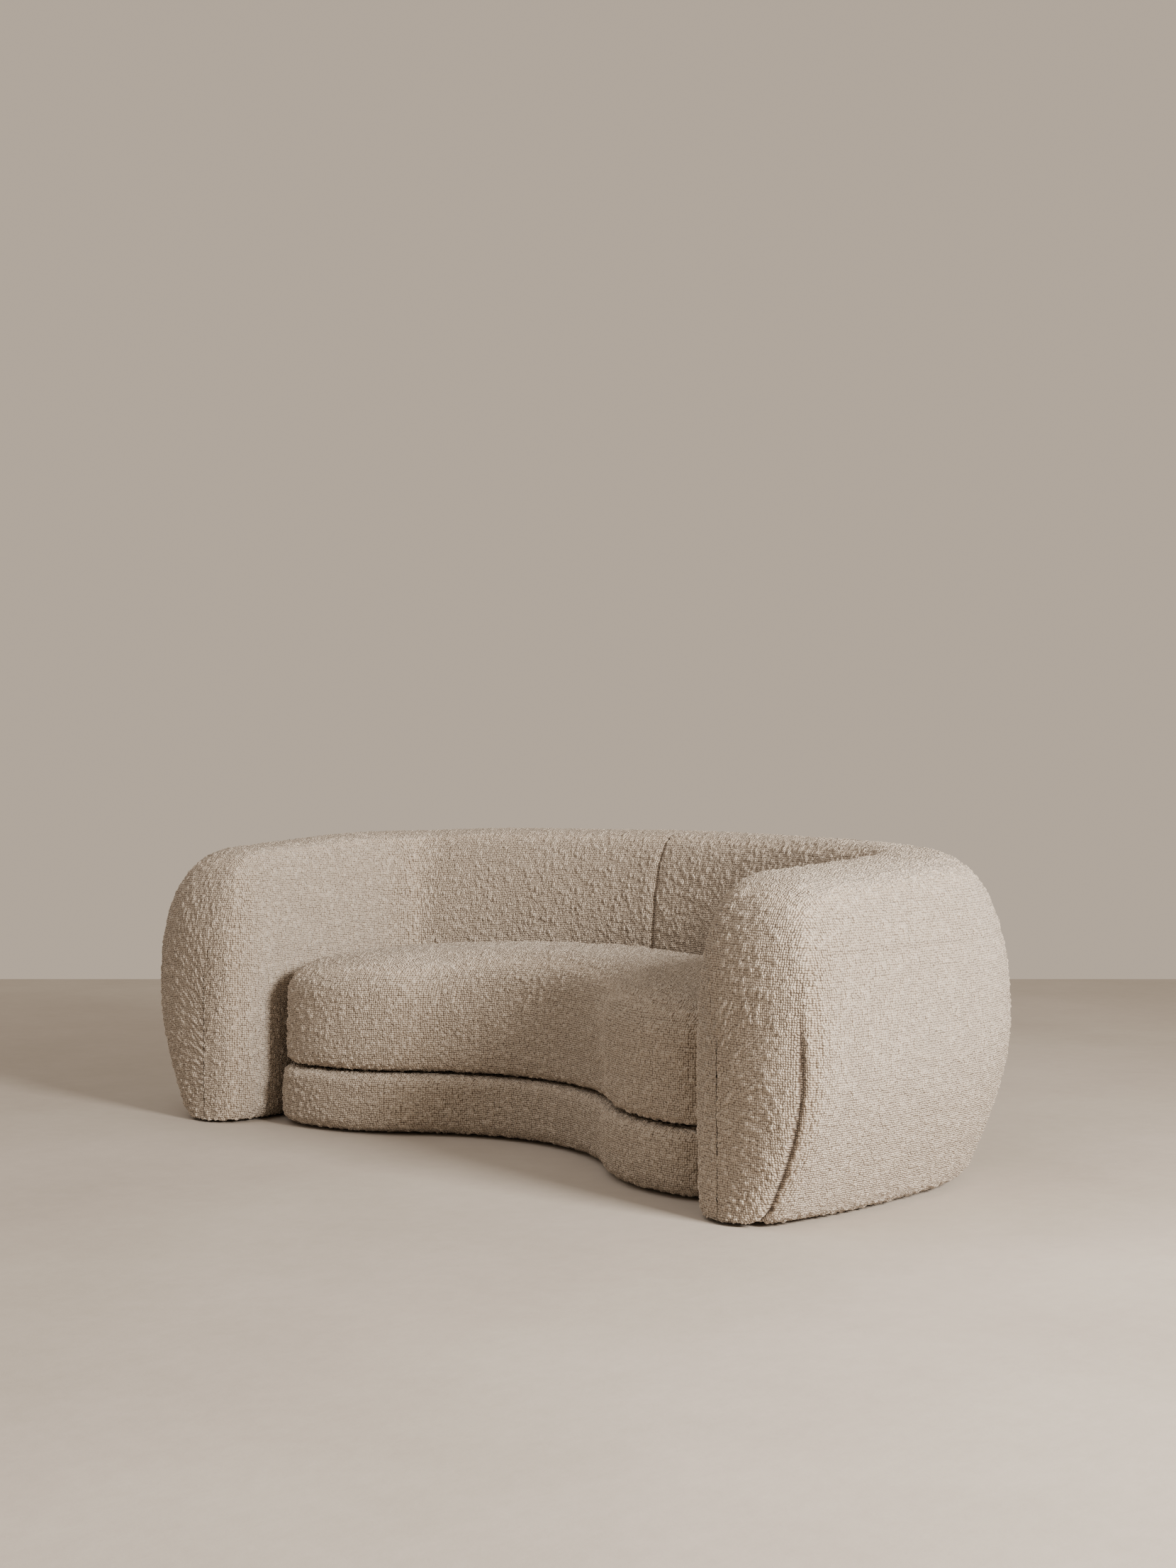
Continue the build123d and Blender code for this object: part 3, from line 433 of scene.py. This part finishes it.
def quads_of(rows, columns, closed=False):
    """Corner numbers of a grid's faces, and which row and column each lies in."""
    last = columns if closed else columns - 1
    i, j = np.meshgrid(np.arange(rows - 1), np.arange(last), indexing="ij")
    i, j = i.ravel(), j.ravel()
    k = (j + 1) % columns
    return np.stack([i * columns + j, (i + 1) * columns + j, (i + 1) * columns + k, i * columns + k], 1), i, j


def make_piece(name, points, faces, pile, normal, material):
    """An object from points, quad faces, and the knot height and plain normal at each point; the colour turns
    the knot height into painted shade low down and painted light on top.
    """
    used, renumbered = np.unique(faces, return_inverse=True)
    faces = renumbered.reshape(faces.shape)
    mesh = bpy.data.meshes.new(name)
    mesh.vertices.add(len(used))
    mesh.vertices.foreach_set("co", points[used].astype(np.float32).ravel())
    mesh.loops.add(faces.size)
    mesh.loops.foreach_set("vertex_index", faces.astype(np.int32).ravel())
    mesh.polygons.add(len(faces))
    mesh.polygons.foreach_set("loop_start", np.arange(0, faces.size, 4, dtype=np.int32))
    mesh.polygons.foreach_set("use_smooth", np.ones(len(faces), bool))
    mesh.update(calc_edges=True)
    # knot height for the colour: painted shade in the crevices, painted light on the knot tops
    mesh.attributes.new("pile", "FLOAT", "POINT").data.foreach_set("value", pile[used].astype(np.float32))
    facing = normal[used] ** 8
    facing = (facing / facing.sum(1, keepdims=True)).astype(np.float32)
    mesh.attributes.new("facing", "FLOAT_VECTOR", "POINT").data.foreach_set("vector", facing.ravel())
    mesh.materials.append(material)
    mesh.validate()
    piece = bpy.data.objects.new(name, mesh)
    bpy.context.scene.collection.objects.link(piece)
    return piece


# ---------------------------------------------------------------- shell
def shell_columns():
    """Arc lengths of the grid's columns, closer where the outer side turns fast."""
    def run(start, end, step):
        count = round((end - start) / step)
        return start + (end - start) * np.arange(count) / count

    tip_start = REACH - TIP_LENGTH
    tip = np.linspace(0, 1, round(0.24 / STEP)) ** 0.9 * math.radians(89.9)
    half = np.concatenate([
        run(0, BACK_END, STEP),
        run(BACK_END, CORNER_END, STEP * 0.66),
        run(CORNER_END, tip_start, STEP),
        tip_start + TIP_LENGTH * np.sin(tip),
    ])
    return np.concatenate([-half[:0:-1], half])


def build_shell():
    """The whole cover of the shell as one grid: from the outer hem over the ridge to the inner hem."""
    columns = shell_columns()
    rows = round(1.63 / STEP)
    foot_levels = FOOT_ROUND * (1 - np.cos(np.linspace(0, np.pi / 2, 40, endpoint=False)))
    upper_levels = FOOT_ROUND + (1 - FOOT_ROUND) * (1 - (1 - np.linspace(0, 1, 400)) ** 3)
    levels = np.concatenate([foot_levels, upper_levels])
    out = np.empty((rows, len(columns)))
    height = np.empty_like(out)
    for j, s in enumerate(np.abs(columns)):
        outer, outer_z = shell_profile(s, levels, 1)
        inner, inner_z = shell_profile(s, levels, -1)
        line = np.concatenate([[outer[0] * HEM], outer, inner[-2::-1], [inner[0] * HEM]])
        rise = np.concatenate([[LIP], outer_z, inner_z[-2::-1], [LIP]])
        out[:, j], height[:, j] = even_rows(line, rise, rows)
    place, direction = centreline(columns)
    plan = place[None] + out[..., None] * direction[None]
    points = np.concatenate([plan, height[..., None]], -1)
    normal = grid_normals(points)

    # Distance to the outside panel's edge, negative inside it, and to the middle seam.
    length = np.broadcast_to(np.abs(columns), out.shape)
    beyond = length - (REACH - SEAM_SETBACK - SEAM_CORNER)
    above = height - (SEAM_TOP - SEAM_CORNER)
    straight = np.minimum(np.maximum(beyond, above), 0)
    rounded = np.hypot(np.maximum(beyond, 0), np.maximum(above, 0))
    seam = np.where(out > 0, straight + rounded - SEAM_CORNER, 1.0)
    middle = np.where(seam > 0, length, 1.0)
    near = np.minimum(np.abs(seam), np.abs(middle)).ravel()

    # The panel's seam grows faint with height, on its upright part as well as where it runs level.
    high = np.clip((above.ravel() + SEAM_CORNER) / SEAM_CORNER, 0, 1) * (seam.ravel() < 0.5)
    depth = (1 - (1 - HIGH_SEAM) * high) * np.where(middle.ravel() < 0.05, MIDDLE_SEAM, 1.0)
    groove = SEAM_DEPTH * np.exp(-(near / SEAM_WIDTH) ** 2) + SEAM_PUFF * np.exp(-(near / PUFF_WIDTH) ** 2)

    flat = points.reshape(-1, 3)
    normal = normal.reshape(-1, 3)
    # knots are flattened near the seams, in the surface and, through the colour, as painted shade beside them
    pile = pile_height(flat) * (0.25 + 0.75 * np.clip(near / 0.006, 0, 1))
    lift = SWELL * waves(flat) + PILE * (pile - PILE_LEVEL) - depth * groove
    flat = flat + normal * lift[:, None]
    flat[:, 2] = np.maximum(flat[:, 2], UNDER_LIMIT)
    # painted shade along the seam's groove: the knot height for the colour is pushed down there, most where
    # the groove is deepest
    seam_groove_shade = depth * np.exp(-(near / SEAM_WIDTH) ** 2)
    pile = pile * (1 - seam_groove_shade) - 1.3 * seam_groove_shade

    faces, _, column = quads_of(rows, len(columns))
    inside_panel = seam[:-1, :-1].ravel() < 0
    right = columns[column] >= 0
    arm = np.abs(columns)[column] >= (BACK_END + CORNER_END) / 2
    groups = {
        "outside_cover_left": inside_panel & ~right,
        "outside_cover_right": inside_panel & right,
        "back_cover_left": ~inside_panel & ~right & ~arm,
        "back_cover_right": ~inside_panel & right & ~arm,
        "arm_cover_left": ~inside_panel & ~right & arm,
        "arm_cover_right": ~inside_panel & right & arm,
    }
    made = {}
    for name, chosen in groups.items():
        look = BOUCLE["outside" if name.startswith("outside") else "inside"]
        made[name] = make_piece(name, flat, faces[chosen], pile, normal, look)
    return made


shell = build_shell()
for name, piece in shell.items():
    side = name.rsplit("_", 1)[1]
    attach(piece, "sofa")
    if name.startswith("outside"):
        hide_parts("outside_cover")
    elif name.startswith("arm"):
        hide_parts(f"inside_cover_{side}", f"{side}_arm_front_cover", f"{side}_arm_foam")
    else:
        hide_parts(f"inside_cover_{side}", f"{side}_back_foam")


# ---------------------------------------------------------------- base
def ring_profile(parts):
    """Evenly spaced inset and height pairs along a profile made of parts."""
    inset = np.concatenate([part[0] for part in parts])
    height = np.concatenate([part[1] for part in parts])
    length = np.concatenate([[0], np.cumsum(np.hypot(np.diff(inset), np.diff(height)))])
    return even_rows(inset, height, max(4, round(length[-1] / STEP)))


def build_base():
    """The base's cover: a rounded ring with its hem below, and the deck inside it."""
    place, out = kidney()
    low_turn = np.linspace(np.pi / 2, 0, 12)
    top_turn = np.linspace(0, np.pi / 2, 12)
    inset, height = ring_profile([
        (np.array([BASE_HEM]), np.array([LIP + 0.001])),
        (BASE_ROUND_LOW * (1 - np.cos(low_turn)), LIP + BASE_ROUND_LOW * (1 - np.sin(low_turn))),
        (BASE_ROUND_TOP * (1 - np.cos(top_turn)), BASE_TOP - BASE_ROUND_TOP * (1 - np.sin(top_turn))),
        (np.array([RING_EDGE]), np.array([BASE_TOP])),
    ])
    rise = np.clip((height - LIP) / (BASE_TOP - LIP), 0, 1)
    bulge = BASE_BULGE * np.sin(np.pi * rise) ** 0.7
    plan = place[None] - (inset - bulge)[:, None, None] * out[None]
    points = np.concatenate([plan, np.broadcast_to(height[:, None, None], plan.shape[:2] + (1,))], -1)
    wrapped = np.concatenate([points[:, -1:], points, points[:, :1]], 1)
    normal = grid_normals(wrapped)[:, 1:-1].reshape(-1, 3)
    flat = points.reshape(-1, 3)
    pile = pile_height(flat)
    lift = BASE_SWELL * waves(flat) + PILE * (pile - PILE_LEVEL)
    flat = flat + normal * lift[:, None]
    flat[:, 2] = np.clip(flat[:, 2], UNDER_LIMIT, BASE_TOP + 0.0005)
    faces, _, _ = quads_of(len(inset), len(place), closed=True)
    cover = make_piece("base_cover_sides", flat, faces, pile, normal, BOUCLE["base"])

    rim = place - DECK_EDGE * out
    right = rim[:, 0].max() - 0.001
    x = right * np.sin(np.linspace(-np.pi / 2, np.pi / 2, round(1.4 / (2 * STEP))))
    turning = np.argmax(rim[:, 0])
    half = len(place) // 2
    back = rim[: turning + 1]
    front = rim[turning: half + 1]
    back_y = np.interp(np.abs(x), back[:, 0], back[:, 1])
    front_y = np.interp(np.abs(x), front[::-1, 0], front[::-1, 1])
    across = np.linspace(0, 1, round(0.5 / (2 * STEP)))
    y = front_y[None] + (back_y - front_y)[None] * across[:, None]
    deck = np.stack([x[None] + 0 * y, y, BASE_TOP - 0.0005 + 0 * y], -1)
    flat = deck.reshape(-1, 3)
    normal = np.zeros_like(flat)
    normal[:, 2] = 1
    pile = pile_height(flat)
    flat[:, 2] -= 0.001 * (1 - pile)
    faces, _, _ = quads_of(*deck.shape[:2])
    deck_piece = make_piece("base_cover_deck", flat, faces[:, ::-1], pile, normal, BOUCLE["base"])
    return cover, deck_piece


for piece in build_base():
    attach(piece, "sofa")
    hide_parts("base_cover", "base_foam")


# ---------------------------------------------------------------- cushion
def coordinates(mesh):
    values = np.empty(len(mesh.vertices) * 3, np.float32)
    mesh.vertices.foreach_get("co", values)
    return values.reshape(-1, 3).astype(float)


def vertex_normals(mesh):
    values = np.empty(len(mesh.vertices) * 3, np.float32)
    mesh.vertex_normals.foreach_get("vector", values)
    return values.reshape(-1, 3).astype(float)


def apply_modifiers(obj):
    """Swaps the object's mesh for its evaluated one and drops the modifiers."""
    graph = bpy.context.evaluated_depsgraph_get()
    mesh = bpy.data.meshes.new_from_object(obj.evaluated_get(graph))
    old = obj.data
    obj.modifiers.clear()
    obj.data = mesh
    bpy.data.meshes.remove(old)


def cushion_block():
    """The cushion before stuffing: a closed form with rounded edges, slightly small."""
    place, out = kidney()
    low = np.linspace(np.pi / 2, 0, 9)
    high = np.linspace(0, np.pi / 2, 17)
    inset = np.concatenate([
        CUSHION_ROUND_LOW * (1 - np.cos(low)),
        CUSHION_ROUND_TOP * (1 - np.cos(high)),
    ]) + CUSHION_SLACK
    height = np.concatenate([
        SEAT_BOTTOM + CUSHION_ROUND_LOW * (1 - np.sin(low)),
        SEAT_TOP - CUSHION_SLACK - CUSHION_ROUND_TOP * (1 - np.sin(high)),
    ])
    every = max(1, round(VOXEL / STEP))
    place, out = place[::every], out[::every]
    plan = place[None] - inset[:, None, None] * out[None]
    points = np.concatenate([plan, np.broadcast_to(height[:, None, None], plan.shape[:2] + (1,))], -1)
    rows, columns = points.shape[:2]
    faces, _, _ = quads_of(rows, columns, closed=True)
    mesh = bpy.data.meshes.new("seat_cushion")
    bottom = tuple(range(columns))
    top = tuple(range(rows * columns - 1, (rows - 1) * columns - 1, -1))
    mesh.from_pydata(points.reshape(-1, 3).tolist(), [], [tuple(f) for f in faces.tolist()] + [bottom, top])
    mesh.validate()
    mesh.update()
    block = bpy.data.objects.new("seat_cushion", mesh)
    bpy.context.scene.collection.objects.link(block)
    remesh = block.modifiers.new("remesh", "REMESH")
    remesh.mode = "VOXEL"
    remesh.voxel_size = VOXEL
    remesh.use_smooth_shade = True
    apply_modifiers(block)
    return block


def crowned(points):
    """Heights of a flat-topped form after its top is given the crown."""
    share = np.clip((points[:, 2] - SEAT_BOTTOM) / (SEAT_TOP - SEAT_BOTTOM), 0, 1)
    sag = (points[:, 0] ** 2 + points[:, 1] ** 2) / (2 * CROWN_RADIUS)
    return points[:, 2] - sag * share


def stuff(block):
    """Cloth under inner pressure, no point moving further than a cap; the underside stays flat."""
    start = coordinates(block.data)
    cloth_modifier = block.modifiers.new("stuffing", "CLOTH")
    settings = cloth_modifier.settings
    settings.quality = 5
    settings.mass = 0.3
    settings.tension_stiffness = 12
    settings.compression_stiffness = 12
    settings.shear_stiffness = 6
    settings.bending_stiffness = 2
    settings.use_pressure = True
    settings.uniform_pressure_force = 4
    settings.effector_weights.gravity = 0
    cloth_modifier.collision_settings.use_collision = False
    scene = bpy.context.scene
    for number in range(1, 21):
        scene.frame_set(number)
    graph = bpy.context.evaluated_depsgraph_get()
    end = coordinates(block.evaluated_get(graph).data)
    block.modifiers.clear()
    scene.frame_set(1)
    moved = end - start
    share = np.clip((start[:, 2] - SEAT_BOTTOM) / 0.2, 0, 1)
    cap = STUFFING_CAP + STUFFING_RISE * share
    length = np.maximum(np.linalg.norm(moved, axis=1), 1e-9)
    moved *= np.minimum(1, cap / length)[:, None]
    moved[:, :2] *= 0.6
    points = start + moved
    points[:, 2] = np.maximum(points[:, 2], SEAT_BOTTOM)
    block.data.vertices.foreach_set("co", points.astype(np.float32).ravel())
    block.data.update()


def build_cushion():
    """The stuffed cushion's cover, parted at its lower seam."""
    block = cushion_block()
    stuff(block)
    points = coordinates(block.data)
    points[:, 2] = crowned(points)
    block.data.vertices.foreach_set("co", points.astype(np.float32).ravel())
    smooth = block.modifiers.new("smooth", "SMOOTH")
    smooth.iterations = 4
    smooth.factor = 0.5
    finer = block.modifiers.new("finer", "SUBSURF")
    finer.levels = 1
    apply_modifiers(block)
    points = coordinates(block.data)
    normal = vertex_normals(block.data)
    near = np.where(points[:, 2] < 0.25, np.abs(points[:, 2] - CUSHION_SEAM), 1.0)
    pile = pile_height(points)
    groove = 0.0012 * np.exp(-(near / 0.004) ** 2)
    points = points + normal * (PILE * (pile - PILE_LEVEL) - groove)[:, None]
    points[:, 2] = np.maximum(points[:, 2], SEAT_BOTTOM - 0.0003)
    sizes = np.empty(len(block.data.polygons), np.int32)
    block.data.polygons.foreach_get("loop_total", sizes)
    corners = np.empty(len(block.data.loops), np.int32)
    block.data.loops.foreach_get("vertex_index", corners)
    faces = corners.reshape(-1, 4)
    upper = points[faces].mean(1)[:, 2] > CUSHION_SEAM
    top = make_piece("cushion_top", points, faces[upper], pile, normal, BOUCLE["cushion"])
    under = make_piece("cushion_underside", points, faces[~upper], pile, normal, BOUCLE["cushion"])
    bpy.data.objects.remove(block)
    return top, under


cushion_top, cushion_underside = build_cushion()
for piece in (cushion_top, cushion_underside):
    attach(piece, "seat_cushion")
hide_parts("cushion_cover_top", "cushion_foam_core", "cushion_fibre_wrap")
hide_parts("cushion_cover_underside")

# ---------------------------------------------------------------- materials of the carried-over nodes
slots = {entry["node"]: entry["material_slot"] for entry in frame["record"]["subparts"]}
for name, node in frame["nodes"].items():
    look = NODE_LOOKS.get(slots[name])
    if look is None:
        look = BOUCLE[slots[name].split("_", 1)[1]]
    node.data.materials.clear()
    node.data.materials.append(look)


# ---------------------------------------------------------------- floor, light and surroundings
def floor_look():
    n = Nodes("plaster_floor", 0.75)
    cloudy = n.noise(0.9, 5, 0.6)
    fine = n.noise(24, 4, 0.6)
    mixed = n.maths("ADD", n.maths("MULTIPLY", cloudy, 0.8), n.maths("MULTIPLY", fine, 0.2))
    n.bump(fine, 0.001)
    return n.colour(n.ramp(mixed, ((0.3, (0.36, 0.315, 0.27)), (0.7, (0.47, 0.42, 0.37)))))


yaw = camera.rotation_euler.z
floor_mesh = bpy.data.meshes.new("floor")
corners = [(-9, -5.5, 0), (9, -5.5, 0), (9, 3.6, 0), (-9, 3.6, 0)]
cos, sin = math.cos(yaw), math.sin(yaw)
turned = [(x * cos - y * sin, x * sin + y * cos, z) for x, y, z in corners]
floor_mesh.from_pydata(turned, [], [(0, 1, 2, 3)])
floor_mesh.materials.append(floor_look())
floor = bpy.data.objects.new("floor", floor_mesh)
bpy.context.scene.collection.objects.link(floor)

world = bpy.data.worlds.new("surroundings")
world.use_nodes = True
world.node_tree.nodes["Background"].inputs["Color"].default_value = (0.72, 0.595, 0.465, 1)
world.node_tree.nodes["Background"].inputs["Strength"].default_value = 0.80
bpy.context.scene.world = world


def soft_light(name, location, size, power, colour, target=(0, 0, 0.35)):
    data = bpy.data.lights.new(name, "AREA")
    data.size = size
    data.energy = power
    data.color = colour
    light = bpy.data.objects.new(name, data)
    light.location = location
    light.rotation_euler = (Vector(target) - Vector(location)).to_track_quat("-Z", "Y").to_euler()
    bpy.context.scene.collection.objects.link(light)


soft_light("window", (5.2, -0.6, 2.3), 1.3, 700, (1.0, 0.94, 0.86))
soft_light("sky", (-1.0, -2.5, 4.5), 4.0, 60, (0.95, 0.97, 1.0))
